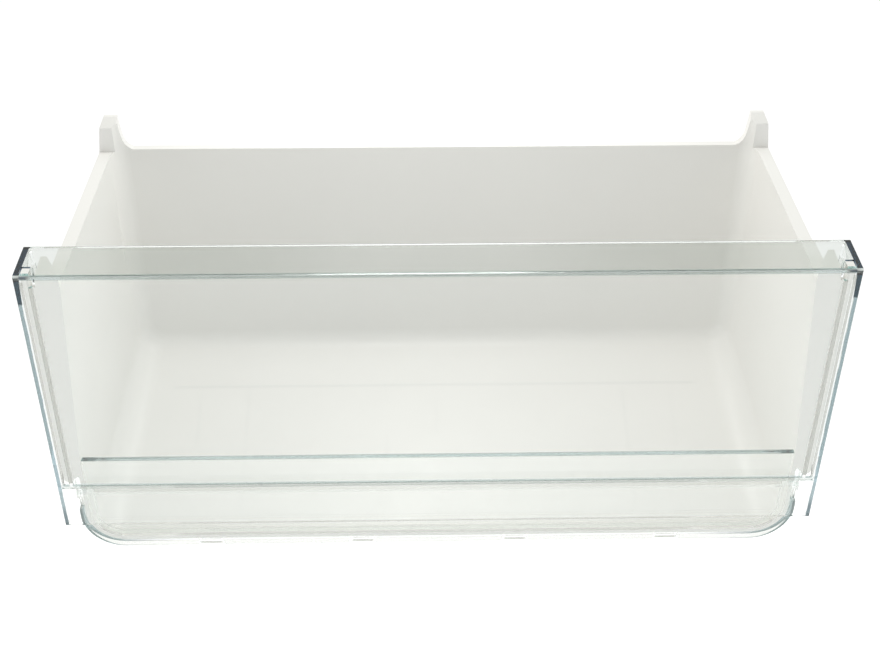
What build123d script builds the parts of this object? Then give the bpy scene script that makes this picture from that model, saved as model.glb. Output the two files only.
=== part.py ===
from build123d import *
import os

# ---------------------------------------------------------------------------
# Refrigerator drawer organizer: a white U-section tub, a clear front frame
# that closes the foot of the tub's open front, and a clear fascia that slides
# down over the tub's front flanges.
# Millimetres. +X right, +Y towards the back of the drawer, +Z up.
# Origin: middle of the overall box, on the surface that the drawer stands on.
# The solids are drawn with y = 0 on the fascia's front face and moved at the end.
# ---------------------------------------------------------------------------

# --- overall ---------------------------------------------------------------
FASCIA_W = 460.0        # width over the fascia
DEPTH = 159.6           # fascia front to the back of the tub's rim
LEDGE_TOP = 207.5       # height of the fascia's top ledge
EAR_TOP = 219.5         # height of the two rear ears

# --- tub -------------------------------------------------------------------
WALL = 2.6              # wall thickness of the tub
RIM_Z = 197.5           # top of the rim
RIM_T = 3.0             # thickness of the rim
RIM_LIP = 10.0          # height of the lip that hangs from the rim's outer edge
RIM_LIP_T = 2.0
RIM_X_FRONT = 215.0     # outer half width of the rim at the front
RIM_X_BACK = 210.8      # outer half width of the rim at the back
TUB_Y0 = 5.6            # front edge of the tub
SEAT_Y1 = 12.6          # the tub's section is constant up to here, for its seat
BACK_Y = 155.0          # inner face of the back wall
FRONT_TOP_X = 206.7     # inner half width at the rim, front
FRONT_MID_X = 214.6     # inner half width at the foot, front
FRONT_MID_Z = 74.0      # height where the front section turns vertical
FRONT_FLOOR_Z = 7.0     # floor height at the front
FRONT_R = 19.1          # bottom corner radius at the front
BACK_TOP_X = 203.4
BACK_MID_X = 203.0
BACK_MID_Z = 120.0
BACK_BOT_X = 202.4
BACK_FLOOR_Z = 47.0     # floor height at the back: the floor slopes to the front
BACK_R = 15.0
BACK_FILLET = 10.5      # fillet between the back wall and the sides and floor

FLANGE_X = 226.6        # outer half width of the front flanges
FLANGE_T = 2.6
TONGUE_TOP = 206.8      # the tongues end in the ledge's two openings

STAND_Y0, STAND_Y1 = 116.0, 118.4   # cross rib under the floor
STAND_X = 178.0
RIB_T = 2.2

# --- front frame -----------------------------------------------------------
FRAME_Y0, FRAME_Y1 = 3.3, 5.3       # front sheet
COLLAR_Y1 = 12.0                    # back of the collar round the tub
COLLAR_X = 220.5                    # outer half width of the collar
COLLAR_R = 25.0                     # outer bottom corner radius
COLLAR_T_SIDE = 3.0
COLLAR_T_FOOT = 4.1
SHEET_TOP = 45.0                    # the front sheet steps back from here
SHEET_STEP = 48.6                   # ... to here, to leave room for the fascia's rib
LIP_Y0 = 5.4                        # front of the upright lip
COLLAR_SIDE_Z = 55.0                # top of the collar at its outer side
COLLAR_SHOULDER = 57.6              # top of the collar next to the tub
LIP_X = 214.3                       # outer half width of the inner wall
LIP_T_SIDE = 3.5
LIP_Y1 = 9.0
LIP_TOP = 70.8                      # top of the upright lip
LIP_LOW = 49.9
LIP_FOOT = 7.3                      # underside of the inner wall
LIP_FOOT_T = 3.0
NOTCH_X = (-143.0, -48.0, 48.0, 143.0)
NOTCH_W = 16.0
NOTCH_D = 1.3
SIDE_NOTCH_Z = (32.4, 41.8)

# --- fascia ----------------------------------------------------------------
PLATE_T = 3.0
SKIRT_T = 2.0
SKIRT_BOTTOM = 21.7
STEP_Z0, STEP_Z1 = 50.8, 52.5       # cross rib, in front of the frame's lip
STEP_Y1 = 5.0
LEDGE_D = 29.5
LEDGE_T = 3.0
FLANGE_IN_X = 227.2                 # inner face of the side flanges
SKIRT_IN_X = 228.2                  # the same beside the skirt
SIDE_D = 12.0                       # depth of the side flanges below the ledge
GUIDE_X0, GUIDE_X1 = 221.2, 223.3   # guide rib of the channel
CATCH_X0 = 224.4                    # catch behind the tub's flange
OPEN_X0 = 221.9                     # openings in the ledge for the tongues
OPEN_Y0, OPEN_Y1 = 3.0, 9.4


def box(x0, x1, y0, y1, z0, z1):
    return Pos((x0 + x1) / 2, (y0 + y1) / 2, (z0 + z1) / 2) * Box(
        abs(x1 - x0), abs(y1 - y0), abs(z1 - z0))


def both(solid):
    return solid + mirror(solid, about=Plane.YZ)


def u_face(y, top_x, mid_x, mid_z, bot_x, floor_z, r, top_z):
    """Closed U section at depth y: straight top, two-part sides, round corners."""
    s = 0.70710678
    right = [Vector(top_x, y, top_z), Vector(mid_x, y, mid_z),
             Vector(bot_x, y, floor_z + r)]
    mid_r = Vector(bot_x - r + r * s, y, floor_z + r - r * s)
    end_r = Vector(bot_x - r, y, floor_z)
    end_l = Vector(-bot_x + r, y, floor_z)
    mid_l = Vector(-bot_x + r - r * s, y, floor_z + r - r * s)
    left = [Vector(-bot_x, y, floor_z + r), Vector(-mid_x, y, mid_z),
            Vector(-top_x, y, top_z)]
    edges = [
        Edge.make_line(right[0], right[1]),
        Edge.make_line(right[1], right[2]),
        Edge.make_three_point_arc(right[2], mid_r, end_r),
        Edge.make_line(end_r, end_l),
        Edge.make_three_point_arc(end_l, mid_l, left[0]),
        Edge.make_line(left[0], left[1]),
        Edge.make_line(left[1], left[2]),
        Edge.make_line(left[2], right[0]),
    ]
    return Wire(edges)


def u_plate(half_x, foot_z, r, top_z, y0, y1):
    """Prism with a U outline, from y0 to y1."""
    prism = box(-half_x, half_x, y0, y1, foot_z, top_z)
    feet = [e for e in prism.edges().filter_by(Axis.Y)
            if abs(e.center().Z - foot_z) < 0.01]
    return fillet(feet, r)


def prism_y(points_xz, y0, y1):
    """Polygon in X and Z, extruded from y0 to y1."""
    wire = Wire.make_polygon([Vector(x, y0, z) for x, z in points_xz], close=True)
    return Solid.extrude(Face(wire), Vector(0, y1 - y0, 0))


def prism_x(points_yz, x0, x1):
    """Polygon in Y and Z, extruded from x0 to x1."""
    wire = Wire.make_polygon([Vector(x0, y, z) for y, z in points_yz], close=True)
    return Solid.extrude(Face(wire), Vector(x1 - x0, 0, 0))


def prism_z(points_xy, z0, z1):
    """Polygon in X and Y, extruded from z0 to z1."""
    wire = Wire.make_polygon([Vector(x, y, z0) for x, y in points_xy], close=True)
    return Solid.extrude(Face(wire), Vector(0, 0, z1 - z0))


def side_x(z, grow=0.0):
    """Inner half width of the tub's front section at height z."""
    if z <= FRONT_MID_Z:
        return FRONT_MID_X + grow
    k = (z - FRONT_MID_Z) / (RIM_Z - FRONT_MID_Z)
    return FRONT_MID_X + (FRONT_TOP_X - FRONT_MID_X) * k + grow


def loft_u(front, seat, back, back_fillet):
    """Tub volume: constant section for the seat, then a ruled loft to the back."""
    block = Solid.make_loft([front, seat, back], ruled=True)
    y_back = max(v.Y for v in block.vertices())
    z_top = max(v.Z for v in block.vertices())
    rear = [e for e in block.edges()
            if abs(e.bounding_box().min.Y - y_back) < 0.01
            and not (abs(e.bounding_box().min.Z - z_top) < 0.01)]
    return block.fillet(back_fillet, rear)


# ---------------------------------------------------------------------------
# Tub
# ---------------------------------------------------------------------------
CUT_Z = 235.0           # the cavity is cut through the top, past the ears
lean_front = (FRONT_TOP_X - FRONT_MID_X) / (RIM_Z - FRONT_MID_Z)
cut_front_x = FRONT_TOP_X + lean_front * (CUT_Z - RIM_Z)
lean_back = (BACK_TOP_X - BACK_MID_X) / (RIM_Z - BACK_MID_Z)
cut_back_x = BACK_TOP_X + lean_back * (CUT_Z - RIM_Z)

cavity = loft_u(
    u_face(-5.0, cut_front_x, FRONT_MID_X, FRONT_MID_Z, FRONT_MID_X,
           FRONT_FLOOR_Z, FRONT_R, CUT_Z),
    u_face(SEAT_Y1, cut_front_x, FRONT_MID_X, FRONT_MID_Z, FRONT_MID_X,
           FRONT_FLOOR_Z, FRONT_R, CUT_Z),
    u_face(BACK_Y, cut_back_x, BACK_MID_X, BACK_MID_Z, BACK_BOT_X,
           BACK_FLOOR_Z, BACK_R, CUT_Z),
    BACK_FILLET)

shell = loft_u(
    u_face(TUB_Y0, FRONT_TOP_X + WALL, FRONT_MID_X + WALL, FRONT_MID_Z,
           FRONT_MID_X + WALL, FRONT_FLOOR_Z - WALL, FRONT_R + WALL, RIM_Z),
    u_face(SEAT_Y1, FRONT_TOP_X + WALL, FRONT_MID_X + WALL, FRONT_MID_Z,
           FRONT_MID_X + WALL, FRONT_FLOOR_Z - WALL, FRONT_R + WALL, RIM_Z),
    u_face(BACK_Y + WALL, BACK_TOP_X + WALL, BACK_MID_X + WALL, BACK_MID_Z,
           BACK_BOT_X + WALL, BACK_FLOOR_Z - WALL, BACK_R + WALL, RIM_Z),
    BACK_FILLET + WALL)

EAR_Y0 = 151.5
rim_plan = [(-RIM_X_FRONT, TUB_Y0), (-RIM_X_BACK, EAR_Y0), (-RIM_X_BACK, DEPTH),
            (RIM_X_BACK, DEPTH), (RIM_X_BACK, EAR_Y0), (RIM_X_FRONT, TUB_Y0)]
rim = prism_z(rim_plan, RIM_Z - RIM_T, RIM_Z)
lip_plan = [(-RIM_X_FRONT + RIM_LIP_T, TUB_Y0 - 1), (-RIM_X_BACK + RIM_LIP_T, EAR_Y0),
            (-RIM_X_BACK + RIM_LIP_T, DEPTH - RIM_LIP_T),
            (RIM_X_BACK - RIM_LIP_T, DEPTH - RIM_LIP_T),
            (RIM_X_BACK - RIM_LIP_T, EAR_Y0), (RIM_X_FRONT - RIM_LIP_T, TUB_Y0 - 1)]
rim_lip = prism_z(rim_plan, RIM_Z - RIM_LIP, RIM_Z - RIM_T + 0.5) - prism_z(
    lip_plan, RIM_Z - RIM_LIP - 1, RIM_Z + 1)

# Rear ears: chamfered posts at the back corners, with a round root on the rim.
ear_profile = [(-210.8, RIM_Z - RIM_T), (-210.8, RIM_Z), (-208.6, 214.5),
               (-206.2, EAR_TOP), (-198.0, EAR_TOP), (-197.2, 211.0),
               (-196.3, 204.8), (-195.0, 201.4), (-193.1, 199.0),
               (-190.4, RIM_Z), (-190.4, RIM_Z - RIM_T)]
ear = prism_y(ear_profile, EAR_Y0, DEPTH)
ear = ear - prism_x([(EAR_Y0 - 1, 214.5), (EAR_Y0, 214.5), (157.2, EAR_TOP + 0.01),
                     (EAR_Y0 - 1, EAR_TOP + 2)], -230, -180)

# Front flanges and tongues: the fascia slides down over them.
flange = prism_y([(-FLANGE_X, 56.4), (-FLANGE_X, RIM_Z), (-side_x(RIM_Z) - 0.5, RIM_Z),
                  (-side_x(FRONT_MID_Z) - 0.5, FRONT_MID_Z),
                  (-FRONT_MID_X - 0.5, COLLAR_SHOULDER + 0.6),
                  (-217.7, COLLAR_SHOULDER + 0.6), (-221.1, COLLAR_SIDE_Z + 0.4),
                  (-221.2, 53.9), (-224.0, 53.4), (-225.6, 54.2), (-226.4, 55.3)],
                 TUB_Y0, TUB_Y0 + FLANGE_T)
tongue = box(-FLANGE_X, -222.3, TUB_Y0, 8.9, RIM_Z - 4, TONGUE_TOP) + box(
    -FLANGE_X, -222.3, 3.5, 8.9, 199.2, TONGUE_TOP)
gusset = prism_z([(-219.9, TUB_Y0), (-220.3, 24.6), (-216.9, 24.6),
                  (-207.0, TUB_Y0)], RIM_Z - RIM_T, 202.3)

# Ribs under the floor. Their lower edges are level, so the drawer stands flat.
def rib_x(x, y0):
    return box(x - RIB_T / 2, x + RIB_T / 2, y0, STAND_Y1, 0.0, 60.0)


stand = box(-STAND_X, STAND_X, STAND_Y0, STAND_Y1, 0.0, 60.0)
for x, y0 in ((0.0, 84.0), (-126.0, 26.0), (126.0, 26.0), (-158.0, 72.0), (158.0, 72.0)):
    stand = stand + rib_x(x, y0)
# The ribs stay below the floor's top surface.
stand = stand & prism_x([(20.0, -1.0), (STAND_Y1 + 1, -1.0),
                         (STAND_Y1 + 1, FRONT_FLOOR_Z - 1.3 + (STAND_Y1 + 1 - SEAT_Y1)
                          * (BACK_FLOOR_Z - FRONT_FLOOR_Z) / (BACK_Y - SEAT_Y1)),
                         (20.0, FRONT_FLOOR_Z - 1.3 + (20.0 - SEAT_Y1)
                          * (BACK_FLOOR_Z - FRONT_FLOOR_Z) / (BACK_Y - SEAT_Y1))],
                        -300, 300)

# Snap tabs that click into the collar's windows.
tabs = None
for x in NOTCH_X:
    t = prism_x([(7.6, 5.0), (7.6, 1.9), (8.4, 1.9), (10.0, 5.0)], x - 6.0, x + 6.0)
    tabs = t if tabs is None else tabs + t
side_tab = prism_z([(-216.5, 7.6), (-219.0, 7.6), (-219.0, 8.4), (-216.5, 10.0)],
                   SIDE_NOTCH_Z[0] + 1.5, SIDE_NOTCH_Z[1] - 1.5)
tabs = tabs + both(side_tab)

tub = shell + rim + rim_lip
tub = tub + both(ear)
tub = tub - cavity
tub = tub + both(flange) + both(tongue) + both(gusset - cavity) + stand + tabs

# ---------------------------------------------------------------------------
# Front frame
# ---------------------------------------------------------------------------
sheet = u_plate(COLLAR_X, 0.0, COLLAR_R, SHEET_STEP, FRAME_Y0, FRAME_Y1)
collar_out = u_plate(COLLAR_X, 0.0, COLLAR_R, COLLAR_SHOULDER, FRAME_Y1 - 0.4, COLLAR_Y1)
collar_in = u_plate(COLLAR_X - COLLAR_T_SIDE, COLLAR_T_FOOT,
                    COLLAR_R - COLLAR_T_SIDE, COLLAR_SHOULDER + 30,
                    FRAME_Y1 - 1.0, COLLAR_Y1 + 1)
collar = collar_out - collar_in
shoulder_cut = prism_y([(-COLLAR_X - 1, COLLAR_SIDE_Z), (-COLLAR_X, COLLAR_SIDE_Z),
                        (-COLLAR_X + COLLAR_T_SIDE, COLLAR_SHOULDER),
                        (-COLLAR_X + COLLAR_T_SIDE, COLLAR_SHOULDER + 2),
                        (-COLLAR_X - 1, COLLAR_SHOULDER + 2)], 0, 20)
collar = collar - both(shoulder_cut)

inner_r = COLLAR_R - (COLLAR_X - LIP_X)
inner_out = u_plate(LIP_X, LIP_FOOT, inner_r, LIP_TOP, FRAME_Y1 - 0.4, LIP_Y1)
inner_in = u_plate(LIP_X - LIP_T_SIDE, LIP_FOOT + LIP_FOOT_T, inner_r - LIP_T_SIDE,
                   LIP_LOW, FRAME_Y1 - 1.0, LIP_Y1 + 1)
inner = inner_out - inner_in
jog = prism_x([(4.6, 44.2), (5.3, 45.2), (7.4, 49.2), (7.4, 50.4), (4.6, 50.4)],
              -LIP_X, LIP_X)
step_back = prism_x([(0, SHEET_TOP), (FRAME_Y0, SHEET_TOP), (LIP_Y0, SHEET_STEP),
                     (LIP_Y0, 100), (0, 100)], -300, 300)

front_frame = sheet + collar + inner + jog - step_back
for x in NOTCH_X:
    front_frame = front_frame - box(x - NOTCH_W / 2, x + NOTCH_W / 2, 0, 20, -1, NOTCH_D)
    front_frame = front_frame - box(x - 7.0, x + 7.0, 7.0, 10.6, -1, COLLAR_T_FOOT + 0.05)
for s in (-1, 1):
    front_frame = front_frame - box(s * (COLLAR_X - NOTCH_D), s * (COLLAR_X + 2), 0, 20,
                                    *SIDE_NOTCH_Z)
    front_frame = front_frame - box(s * (COLLAR_X - COLLAR_T_SIDE - 0.05),
                                    s * (COLLAR_X + 2), 7.0, 10.6,
                                    SIDE_NOTCH_Z[0] + 0.8, SIDE_NOTCH_Z[1] - 0.8)

lip_edges = [e for e in front_frame.edges().filter_by(Axis.X)
             if abs(e.center().Z - LIP_TOP) < 0.01 and e.length > 300]
front_frame = fillet(lip_edges, 0.5)

# ---------------------------------------------------------------------------
# Fascia
# ---------------------------------------------------------------------------
HW = FASCIA_W / 2
plate = box(-HW, HW, 0, PLATE_T, STEP_Z0, LEDGE_TOP)
skirt = box(-HW, HW, 0, SKIRT_T, SKIRT_BOTTOM, STEP_Z0 + 1)
ledge = box(-HW, HW, 0, LEDGE_D, LEDGE_TOP - LEDGE_T, LEDGE_TOP)
step = box(-FLANGE_IN_X - 0.5, FLANGE_IN_X + 0.5, PLATE_T - 0.5, STEP_Y1, STEP_Z0, STEP_Z1)

side_low = prism_x([(0, SKIRT_BOTTOM), (5.0, SKIRT_BOTTOM), (5.2, STEP_Z0 + 1),
                    (0, STEP_Z0 + 1)], -HW, -SKIRT_IN_X)
side_profile = [(0, STEP_Z0), (5.2, STEP_Z0), (5.7, 53.0), (8.0, 57.0),
                (SIDE_D, 66.0), (SIDE_D, 181.0), (12.9, 186.0), (15.2, 191.0),
                (19.0, 196.0), (24.0, 200.0), (LEDGE_D, 203.0), (LEDGE_D, LEDGE_TOP),
                (0, LEDGE_TOP)]
side = prism_x(side_profile, -HW, -FLANGE_IN_X)
guide = box(-GUIDE_X1, -GUIDE_X0, PLATE_T - 0.5, 5.2, STEP_Z1 - 0.3, 198.6)
catch = box(-FLANGE_IN_X - 0.5, -CATCH_X0, 8.6, 10.4, 64.0, 186.0)
web = prism_z([(-FLANGE_IN_X - 0.5, 28.6), (-222.4, 16.4), (-222.4, 10.2),
               (-220.9, 10.2), (-220.9, 16.0), (-226.4, 29.3),
               (-FLANGE_IN_X - 0.5, 29.3)], 197.5, LEDGE_TOP - 0.5)
window = box(-FLANGE_IN_X, -OPEN_X0, OPEN_Y0, OPEN_Y1, LEDGE_TOP - LEDGE_T - 1,
             LEDGE_TOP + 1)

fascia = plate + skirt + ledge + step
fascia = fascia + both(side) + both(side_low) + both(guide) + both(catch) + both(web)
fascia = fascia - both(window)
front_top = [e for e in fascia.edges().filter_by(Axis.X)
             if abs(e.center().Y) < 0.01 and abs(e.center().Z - LEDGE_TOP) < 0.01]
fascia = fillet(front_top, 1.0)
back_top = [e for e in fascia.edges().filter_by(Axis.X)
            if abs(e.center().Y - LEDGE_D) < 0.01 and abs(e.center().Z - LEDGE_TOP) < 0.01]
fascia = fillet(back_top, 0.6)

# ---------------------------------------------------------------------------
# Write one file for each piece
# ---------------------------------------------------------------------------
SHIFT = Pos(0, -DEPTH / 2, 0)
parts = {"tub": tub, "front_frame": front_frame, "fascia": fascia}

if __name__ == "__main__":
    os.makedirs("parts", exist_ok=True)
    for name, shape in parts.items():
        placed = SHIFT * shape
        bb = placed.bounding_box()
        print(name, "solids", len(placed.solids()), "volume cm3",
              round(placed.volume / 1000, 1), "box",
              [round(v, 2) for v in (*bb.min, *bb.max)])
        export_step(placed, f"parts/{name}.step")
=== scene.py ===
import math
import bpy
import bmesh
from mathutils import Matrix, Vector

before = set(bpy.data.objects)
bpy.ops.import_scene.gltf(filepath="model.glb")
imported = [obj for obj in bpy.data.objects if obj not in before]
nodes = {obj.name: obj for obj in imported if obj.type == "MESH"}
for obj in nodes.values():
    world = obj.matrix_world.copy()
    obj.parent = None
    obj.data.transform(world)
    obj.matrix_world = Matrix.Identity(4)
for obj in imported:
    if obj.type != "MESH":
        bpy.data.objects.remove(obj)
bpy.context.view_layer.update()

scene = bpy.context.scene

# ---------------------------------------------------------------- camera
PITCH, YAW, ROLL = math.radians(36.821), math.radians(1.321), math.radians(-0.240)
cp, sp, cy, sy = math.cos(PITCH), math.sin(PITCH), math.cos(YAW), math.sin(YAW)
fwd = Vector((sy * cp, cy * cp, -sp))
right = Vector((cy, -sy, 0.0))
down = fwd.cross(right)
r2 = math.cos(ROLL) * right + math.sin(ROLL) * down
d2 = -math.sin(ROLL) * right + math.cos(ROLL) * down
cam_data = bpy.data.cameras.new("photo_camera")
cam = bpy.data.objects.new("photo_camera", cam_data)
scene.collection.objects.link(cam)
cam.matrix_world = Matrix.Translation((-0.0144, -0.7033, 0.6360)) @ Matrix((
    (r2.x, -d2.x, -fwd.x), (r2.y, -d2.y, -fwd.y), (r2.z, -d2.z, -fwd.z))).to_4x4()
cam_data.sensor_fit = "HORIZONTAL"
cam_data.sensor_width = 36.0
cam_data.lens = 1401.1 * 36.0 / 880.0
cam_data.clip_start = 0.01
cam_data.clip_end = 30.0
scene.camera = cam

# ---------------------------------------------------------------- colour handling and light paths
scene.view_settings.view_transform = "Standard"
scene.view_settings.look = "None"
scene.view_settings.exposure = 0.0
scene.view_settings.gamma = 1.0
scene.cycles.max_bounces = 64
scene.cycles.diffuse_bounces = 5
scene.cycles.glossy_bounces = 64
scene.cycles.transmission_bounces = 64
scene.cycles.transparent_max_bounces = 32
scene.cycles.volume_bounces = 0
scene.cycles.sample_clamp_indirect = 6.0
scene.cycles.caustics_reflective = False
scene.cycles.caustics_refractive = False
scene.cycles.use_denoising = True


# ---------------------------------------------------------------- node helpers
class Tree:
    def __init__(self, name):
        self.mat = bpy.data.materials.new(name)
        self.mat.use_nodes = True
        self.nt = self.mat.node_tree
        self.nt.nodes.clear()
        self.out = self.nt.nodes.new("ShaderNodeOutputMaterial")
        self.pos = self.nt.nodes.new("ShaderNodeTexCoord").outputs["Object"]
        self.geo = self.nt.nodes.new("ShaderNodeNewGeometry")
        self.x, self.y, self.z = self.split(self.pos)

    def new(self, kind, **props):
        n = self.nt.nodes.new(kind)
        for k, v in props.items():
            setattr(n, k, v)
        return n

    def link(self, a, b):
        self.nt.links.new(a, b)

    def put(self, sock, v):
        if isinstance(v, bpy.types.NodeSocket):
            self.link(v, sock)
        else:
            sock.default_value = v

    def split(self, vec):
        n = self.new("ShaderNodeSeparateXYZ")
        self.link(vec, n.inputs[0])
        return n.outputs[0], n.outputs[1], n.outputs[2]

    def math(self, op, a, b=None, c=None, clamp=False):
        n = self.new("ShaderNodeMath", operation=op, use_clamp=clamp)
        for i, v in enumerate((a, b, c)):
            if v is not None:
                self.put(n.inputs[i], v)
        return n.outputs[0]

    def ramp(self, v, lo, hi, a=0.0, b=1.0, smooth=True):
        n = self.new("ShaderNodeMapRange", interpolation_type="SMOOTHSTEP" if smooth else "LINEAR", clamp=True)
        for i, w in enumerate((v, lo, hi, a, b)):
            self.put(n.inputs[i], w)
        return n.outputs[0]

    def band(self, v, lo, hi, soft):
        """1 between lo and hi, fading over soft outside them."""
        return self.math("MULTIPLY", self.ramp(v, lo - soft, lo), self.ramp(v, hi, hi + soft, 1.0, 0.0))

    def noise(self, scale, detail=2.0, rough=0.5, vec=None, stretch=None, dist=0.0):
        n = self.new("ShaderNodeTexNoise")
        src = vec or self.pos
        if stretch:
            m = self.new("ShaderNodeMapping")
            self.link(src, m.inputs["Vector"])
            m.inputs["Scale"].default_value = stretch
            src = m.outputs[0]
        self.link(src, n.inputs["Vector"])
        n.inputs["Scale"].default_value = scale
        n.inputs["Detail"].default_value = detail
        n.inputs["Roughness"].default_value = rough
        n.inputs["Distortion"].default_value = dist
        return n.outputs["Fac"]

    def mix(self, fac, a, b, blend="MIX"):
        n = self.new("ShaderNodeMix", data_type="RGBA", blend_type=blend)
        n.clamp_factor = True
        self.put(n.inputs[0], fac)
        for s, v in ((n.inputs[6], a), (n.inputs[7], b)):
            self.put(s, v if isinstance(v, bpy.types.NodeSocket) else (*v, 1.0))
        return n.outputs[2]

    def bump(self, height, strength, distance, normal=None):
        n = self.new("ShaderNodeBump")
        n.inputs["Strength"].default_value = strength
        n.inputs["Distance"].default_value = distance
        self.link(height, n.inputs["Height"])
        if normal is not None:
            self.link(normal, n.inputs["Normal"])
        return n.outputs[0]


# ---------------------------------------------------------------- white tub plastic
def white_plastic():
    t = Tree("white_moulded_plastic")
    p = t.new("ShaderNodeBsdfPrincipled")
    p.inputs["IOR"].default_value = 1.49
    cloud = t.noise(7.0, 3.0, 0.55)
    flow = t.noise(16.0, 3.0, 0.6, stretch=(0.5, 2.2, 0.8), dist=0.4)
    col = t.mix(cloud, (0.803, 0.796, 0.774), (0.832, 0.824, 0.803))
    col = t.mix(t.math("MULTIPLY", t.ramp(flow, 0.42, 0.72), 0.10), col, (0.76, 0.755, 0.735))
    # sink marks over the ribs under the floor, very faint
    floor_m = t.math("MULTIPLY", t.ramp(t.z, 0.053, 0.049), t.ramp(t.split(t.geo.outputs["Normal"])[2], 0.5, 0.8))
    marks = t.band(t.y, 0.0363, 0.0377, 0.0009)
    marks = t.math("MULTIPLY", marks, t.band(t.x, -0.176, 0.175, 0.003))
    for cx, y0, y1, w in ((0.0, 0.004, 0.026, 0.0006), (-0.033, -0.018, 0.001, 0.0006), (-0.126, -0.055, 0.032, 0.0007),
                          (0.126, -0.055, 0.032, 0.0007), (-0.158, -0.008, 0.026, 0.0006), (0.158, -0.008, 0.026, 0.0006)):
        m = t.math("MULTIPLY", t.band(t.x, cx - w, cx + w, 0.0012), t.band(t.y, y0, y1, 0.006))
        marks = t.math("MAXIMUM", marks, t.math("MULTIPLY", m, 0.45))
    marks = t.math("MULTIPLY", marks, floor_m)
    col = t.mix(t.math("MULTIPLY", marks, 0.22), col, (0.62, 0.63, 0.62))
    t.link(col, p.inputs["Base Color"])
    rough = t.ramp(t.noise(30.0, 4.0, 0.6), 0.3, 0.7, 0.36, 0.46, smooth=False)
    t.link(rough, p.inputs["Roughness"])
    grain = t.noise(2200.0, 2.0, 0.6)
    wave = t.noise(45.0, 2.0, 0.5)
    n = t.bump(grain, 0.16, 0.0001)
    n = t.bump(wave, 0.10, 0.0006, n)
    n = t.bump(t.math("MULTIPLY", marks, -1.0), 0.25, 0.00012, n)
    t.link(n, p.inputs["Normal"])
    t.link(p.outputs[0], t.out.inputs["Surface"])
    return t.mat


# ---------------------------------------------------------------- clear tinted plastic
def fascia_painted_edge_shade(t):
    """Painted shade on the fascia's edges and faces: (mask, colour) pairs. Light that runs along the plate leaves at
    its edges dark, and this darkening is painted into the base colour.
    """
    ax = t.math("ABSOLUTE", t.x)
    nx, ny, nz = t.split(t.geo.outputs["Normal"])
    flat = t.math("GREATER_THAN", t.math("ABSOLUTE", nz), 0.5)
    wavy = t.math("MULTIPLY", t.math("SUBTRACT", t.noise(90.0, 2.0, 0.5), 0.5), 0.0012)
    edge_x = t.math("ADD", ax, wavy)
    front = t.ramp(t.y, -0.0794, -0.0797)
    # painted shade on the front edge of the side flanges: darkest at the top corner and at the foot
    side = t.math("MULTIPLY", front, t.ramp(edge_x, 0.22765, 0.22800))
    upper = t.math("MULTIPLY", front, t.math("MULTIPLY", t.ramp(t.math("SUBTRACT", ax, t.ramp(t.z, 0.188, 0.207, 0.0008, 0.0, smooth=False)), 0.2266, 0.2269), t.ramp(t.z, 0.1880, 0.1892)))
    foot = t.math("MULTIPLY", side, t.ramp(t.z, 0.0520, 0.0490))
    foot_low = t.math("MULTIPLY", side, t.ramp(t.z, 0.0400, 0.0300))
    # painted shade, near black, on the top face over the side flanges
    cap = t.math("MULTIPLY", t.math("MULTIPLY", flat, t.ramp(t.z, 0.2066, 0.2070)), t.ramp(ax, 0.2265, 0.2268))
    # painted shade on the walls of the two openings in the ledge, and on the strip in front of them
    hole = t.math("MULTIPLY", t.math("MULTIPLY", t.band(ax, 0.2217, 0.2272, 0.0001), t.band(t.y, -0.07695, -0.0702, 0.0001)),
                  t.math("MULTIPLY", t.math("SUBTRACT", 1.0, flat), t.ramp(t.z, 0.2042, 0.2044)))
    strip = t.math("MULTIPLY", front, t.math("MULTIPLY", t.ramp(ax, 0.2215, 0.2222), t.ramp(t.z, 0.2046, 0.2052)))
    # a thin line of painted shade under the ledge's front edge
    under = t.math("MULTIPLY", front, t.band(t.z, 0.2050, 0.2061, 0.0003))
    # painted shade on the ledge's rounded back and front top edges, dimming the highlights there
    back = t.math("MULTIPLY", t.ramp(t.y, -0.0513, -0.0509), t.ramp(t.z, 0.2066, 0.2070))
    round_front = t.math("MULTIPLY", t.ramp(t.y, -0.0787, -0.0789), t.ramp(t.z, 0.2062, 0.2064))
    # painted shade on the walls of the guide ribs
    guide = t.math("MULTIPLY", t.math("MULTIPLY", t.band(ax, 0.22105, 0.22345, 0.0001), t.band(t.y, -0.07675, -0.0744, 0.0001)),
                   t.ramp(t.z, 0.0530, 0.0545))
    # shade of the channel beside the side flanges
    channel = t.math("MULTIPLY", t.math("MULTIPLY", front, t.band(ax, 0.2254, 0.2268, 0.0003)), t.band(t.z, 0.0560, 0.2030, 0.0015))
    # painted shade on the cross rib, on its flat faces and its back
    rib = t.math("MULTIPLY", t.math("MULTIPLY", flat, t.band(t.z, 0.0507, 0.0526, 0.0001)), t.ramp(t.y, -0.0780, -0.0776))
    rib_back = t.math("MULTIPLY", t.band(t.z, 0.0507, 0.0526, 0.0001), t.ramp(t.y, -0.0751, -0.0749))
    # painted reflection and shade: the ledge's two broad faces mirror the dim room above and darken what lies behind
    # them
    broad = t.math("MULTIPLY", t.math("MULTIPLY", flat, t.band(t.z, 0.2043, 0.2080, 0.0001)), t.ramp(ax, 0.03, 0.13, 0.45, 1.0))
    # painted shade along the bottom face of the skirt
    low = t.math("MULTIPLY", flat, t.ramp(t.z, 0.0220, 0.0218))
    return ((broad, (0.82, 0.84, 0.82)),
            (side, (0.15, 0.24, 0.28)), (foot, (0.12, 0.18, 0.20)), (foot_low, (0.03, 0.05, 0.06)), (upper, (0.0006, 0.0040, 0.0080)),
            (cap, (0.0001, 0.0006, 0.0018)), (hole, (0.010, 0.018, 0.032)), (strip, (0.0002, 0.0008, 0.0016)),
            (under, (0.42, 0.50, 0.50)), (back, (0.30, 0.32, 0.31)), (round_front, (0.50, 0.53, 0.52)), (guide, (0.56, 0.56, 0.53)), (channel, (0.42, 0.42, 0.39)), (rib, (0.38, 0.45, 0.44)),
            (rib_back, (0.66, 0.71, 0.70)), (low, (0.60, 0.65, 0.64)))


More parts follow.
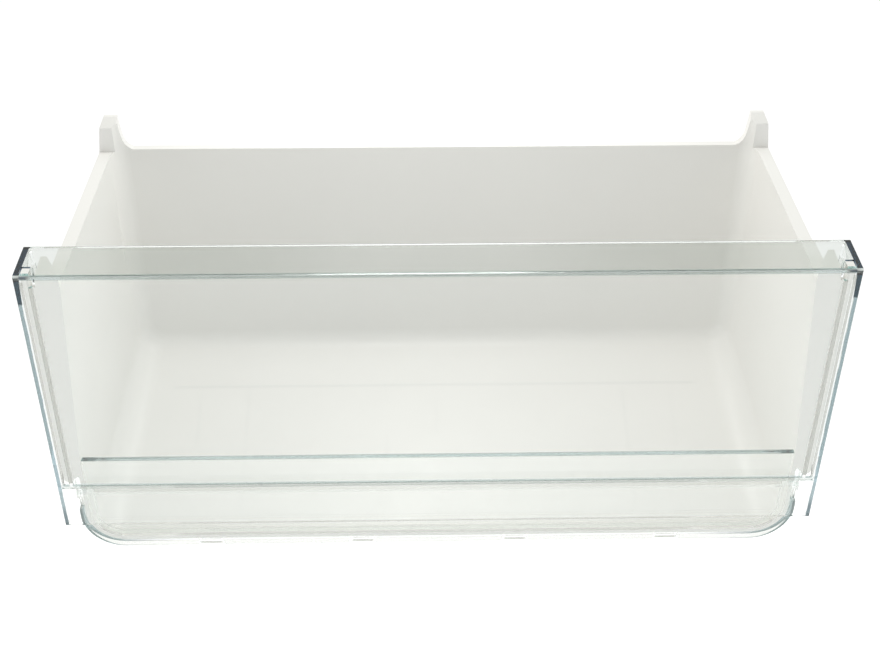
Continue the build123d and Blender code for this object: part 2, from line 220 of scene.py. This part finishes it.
def frame_painted_edge_shade(t):
    """Painted shade on the front frame's lip and along the collar's outline."""
    ax = t.math("ABSOLUTE", t.x)
    nx, ny, nz = t.split(t.geo.outputs["Normal"])
    # painted shade on the lip's top band, darker still towards its ends
    lip = t.math("MULTIPLY", t.ramp(t.z, 0.0702, 0.0706), t.ramp(t.math("ABSOLUTE", nz), 0.3, 0.6))
    ends = t.math("MULTIPLY", lip, t.ramp(t.math("ADD", ax, t.math("MULTIPLY", t.noise(140.0, 3.0, 0.6), 0.006)), 0.2065, 0.2095))
    # distance inwards from the collar's outline
    qx = t.math("MAXIMUM", t.math("SUBTRACT", ax, 0.1955), 0.0)
    qz = t.math("MAXIMUM", t.math("SUBTRACT", 0.025, t.z), 0.0)
    d = t.math("SUBTRACT", 0.025, t.math("SQRT", t.math("ADD", t.math("MULTIPLY", qx, qx), t.math("MULTIPLY", qz, qz))))
    # painted shade: a dark line just inside the collar's outline, strongest at the sides and low down
    wide = t.ramp(ax, 0.195, 0.2195, 0.0005, 0.0017)
    rim = t.math("MULTIPLY", t.math("LESS_THAN", d, wide), t.ramp(ax, 0.150, 0.205, 0.25, 1.0))
    rim = t.math("MULTIPLY", rim, t.ramp(t.z, 0.042, 0.030))
    return ((lip, (0.30, 0.35, 0.35)), (ends, (0.20, 0.28, 0.28)), (rim, (0.07, 0.11, 0.11)))


def clear_plastic(name, density, tint, edges):
    t = Tree(name)
    p = t.new("ShaderNodeBsdfPrincipled")
    p.inputs["IOR"].default_value = 1.54
    p.inputs["Transmission Weight"].default_value = 1.0
    wisp = t.noise(60.0, 3.0, 0.6)
    col = t.mix(wisp, (0.995, 0.998, 0.996), (0.985, 0.992, 0.988))
    # mix the painted edge shade into the base colour
    for mask, shade in edges(t):
        col = t.mix(mask, col, shade)
    t.link(col, p.inputs["Base Color"])
    scratch = t.noise(220.0, 4.0, 0.7, stretch=(0.15, 1.0, 1.0), dist=0.6)
    rough = t.ramp(scratch, 0.45, 0.8, 0.012, 0.05, smooth=False)
    worn = t.math("MULTIPLY", t.math("MULTIPLY", t.ramp(t.y, -0.0513, -0.0509), t.ramp(t.z, 0.2064, 0.2068)), 0.42)
    worn_front = t.math("MULTIPLY", t.math("MULTIPLY", t.ramp(t.y, -0.0787, -0.0789), t.ramp(t.z, 0.2064, 0.2066)), 0.34)
    t.link(t.math("MAXIMUM", t.math("MAXIMUM", rough, worn), worn_front), p.inputs["Roughness"])
    wave = t.noise(38.0, 2.0, 0.5)
    t.link(t.bump(wave, 0.010, 0.0004), p.inputs["Normal"])
    clear = t.new("ShaderNodeBsdfTransparent")
    clear.inputs["Color"].default_value = (0.970, 0.973, 0.966, 1.0)
    path = t.new("ShaderNodeLightPath")
    m = t.new("ShaderNodeMixShader")
    t.link(t.math("MAXIMUM", path.outputs["Is Shadow Ray"], path.outputs["Is Diffuse Ray"]), m.inputs[0])
    t.link(p.outputs[0], m.inputs[1])
    t.link(clear.outputs[0], m.inputs[2])
    t.link(m.outputs[0], t.out.inputs["Surface"])
    vol = t.new("ShaderNodeVolumeAbsorption")
    vol.inputs["Color"].default_value = (*tint, 1.0)
    vol.inputs["Density"].default_value = density
    t.link(vol.outputs[0], t.out.inputs["Volume"])
    return t.mat


white = white_plastic()
glass_a = clear_plastic("clear_fascia_plastic", 6.0, (0.36, 0.66, 0.62), fascia_painted_edge_shade)
glass_b = clear_plastic("clear_frame_plastic", 6.0, (0.36, 0.68, 0.63), frame_painted_edge_shade)

for name, mat in (("tub", white), ("fascia", glass_a), ("front_frame", glass_b)):
    ob = nodes[name]
    if not ob.material_slots:
        ob.data.materials.append(mat)
    for s in ob.material_slots:
        s.material = mat

# ---------------------------------------------------------------- floor, light
BASE_LIGHT, SIDE_LIGHT, FRONT_LIGHT, REAR_LIGHT, TOP_LIGHT, CORNER_LIGHT = 0.02, 0.66, 0.0, 0.0, 1.02, 0.15


def floor():
    me = bpy.data.meshes.new("floor")
    bm = bmesh.new()
    bmesh.ops.create_grid(bm, x_segments=4, y_segments=4, size=6.0)
    bm.to_mesh(me)
    bm.free()
    ob = bpy.data.objects.new("floor", me)
    ob.location = (0, 0, -0.0004)
    scene.collection.objects.link(ob)
    t = Tree("pale_floor")
    d = t.new("ShaderNodeBsdfDiffuse")
    c = t.mix(t.noise(3.0, 2.0), (0.30, 0.30, 0.30), (0.31, 0.31, 0.31))
    t.link(c, d.inputs["Color"])
    # the floor glows, more strongly towards the front, and lights the object from below like a light table
    e = t.new("ShaderNodeEmission")
    e.inputs["Color"].default_value = (1.0, 1.0, 1.0, 1.0)
    t.link(t.ramp(t.y, -0.20, 0.14, 1.14, 0.76), e.inputs["Strength"])
    add = t.new("ShaderNodeAddShader")
    t.link(d.outputs[0], add.inputs[0])
    t.link(e.outputs[0], add.inputs[1])
    t.link(add.outputs[0], t.out.inputs["Surface"])
    me.materials.append(t.mat)
    return ob


floor()

world = bpy.data.worlds.new("studio")
scene.world = world
world.use_nodes = True
wt = world.node_tree
wt.nodes.clear()


def wmath(op, a, b=None, clamp=False):
    n = wt.nodes.new("ShaderNodeMath")
    n.operation = op
    n.use_clamp = clamp
    for i, v in enumerate((a, b)):
        if v is None:
            continue
        if isinstance(v, bpy.types.NodeSocket):
            wt.links.new(v, n.inputs[i])
        else:
            n.inputs[i].default_value = v
    return n.outputs[0]


wo = wt.nodes.new("ShaderNodeOutputWorld")
wdir = wt.nodes.new("ShaderNodeSeparateXYZ")
wt.links.new(wt.nodes.new("ShaderNodeTexCoord").outputs["Generated"], wdir.inputs[0])
wx, wy, wz = wdir.outputs
# a room that is bright at the two sides and overhead, and dimmer behind the camera and high at the back
side = wmath("MULTIPLY", wmath("MULTIPLY", wx, wx), SIDE_LIGHT)
front = wmath("MULTIPLY", wmath("MAXIMUM", wmath("MULTIPLY", wy, -1.0), 0.0), FRONT_LIGHT)
rear = wmath("MULTIPLY", wmath("MAXIMUM", wy, 0.0), REAR_LIGHT)
top = wmath("MULTIPLY", wmath("MAXIMUM", wz, 0.0), wmath("MULTIPLY", wmath("ADD", wmath("MULTIPLY", wy, 0.55), 1.0), TOP_LIGHT))
corner = wmath("MULTIPLY", wmath("MULTIPLY", wmath("MULTIPLY", wx, wx), wmath("MAXIMUM", wmath("MULTIPLY", wy, -1.0), 0.0)), CORNER_LIGHT)
level = wmath("ADD", wmath("ADD", wmath("ADD", wmath("ADD", wmath("ADD", side, front), rear), top), corner), BASE_LIGHT)
level = wmath("MAXIMUM", level, 0.02)
warm = wt.nodes.new("ShaderNodeMix")
warm.data_type = "RGBA"
wt.links.new(wmath("ADD", wmath("MULTIPLY", wx, 0.5), 0.5, clamp=True), warm.inputs[0])
warm.inputs[6].default_value = (1.0, 0.985, 0.945, 1.0)
warm.inputs[7].default_value = (0.955, 0.995, 0.985, 1.0)
lit = wt.nodes.new("ShaderNodeBackground")
wt.links.new(warm.outputs[2], lit.inputs["Color"])
wt.links.new(level, lit.inputs["Strength"])
shown = wt.nodes.new("ShaderNodeBackground")
shown.inputs["Color"].default_value = (1.0, 1.0, 1.0, 1.0)
shown.inputs["Strength"].default_value = 1.0
wpath = wt.nodes.new("ShaderNodeLightPath")
wmix = wt.nodes.new("ShaderNodeMixShader")
wt.links.new(wpath.outputs["Is Camera Ray"], wmix.inputs[0])
wt.links.new(lit.outputs[0], wmix.inputs[1])
wt.links.new(shown.outputs[0], wmix.inputs[2])
wt.links.new(wmix.outputs[0], wo.inputs["Surface"])


def softbox(name, where, towards, size, power, colour=(1, 1, 1)):
    d = bpy.data.lights.new(name, "AREA")
    d.shape = "RECTANGLE"
    d.size, d.size_y = size
    d.energy = power
    d.color = colour
    ob = bpy.data.objects.new(name, d)
    scene.collection.objects.link(ob)
    ob.location = where
    v = Vector(towards) - Vector(where)
    ob.rotation_euler = v.to_track_quat("-Z", "Y").to_euler()
    ob.visible_camera = False
    return ob


softbox("top_box", (-0.005, 0.045, 0.46), (-0.005, 0.03, 0.05), (0.16, 0.12), 0.52, (1.0, 0.985, 0.955))
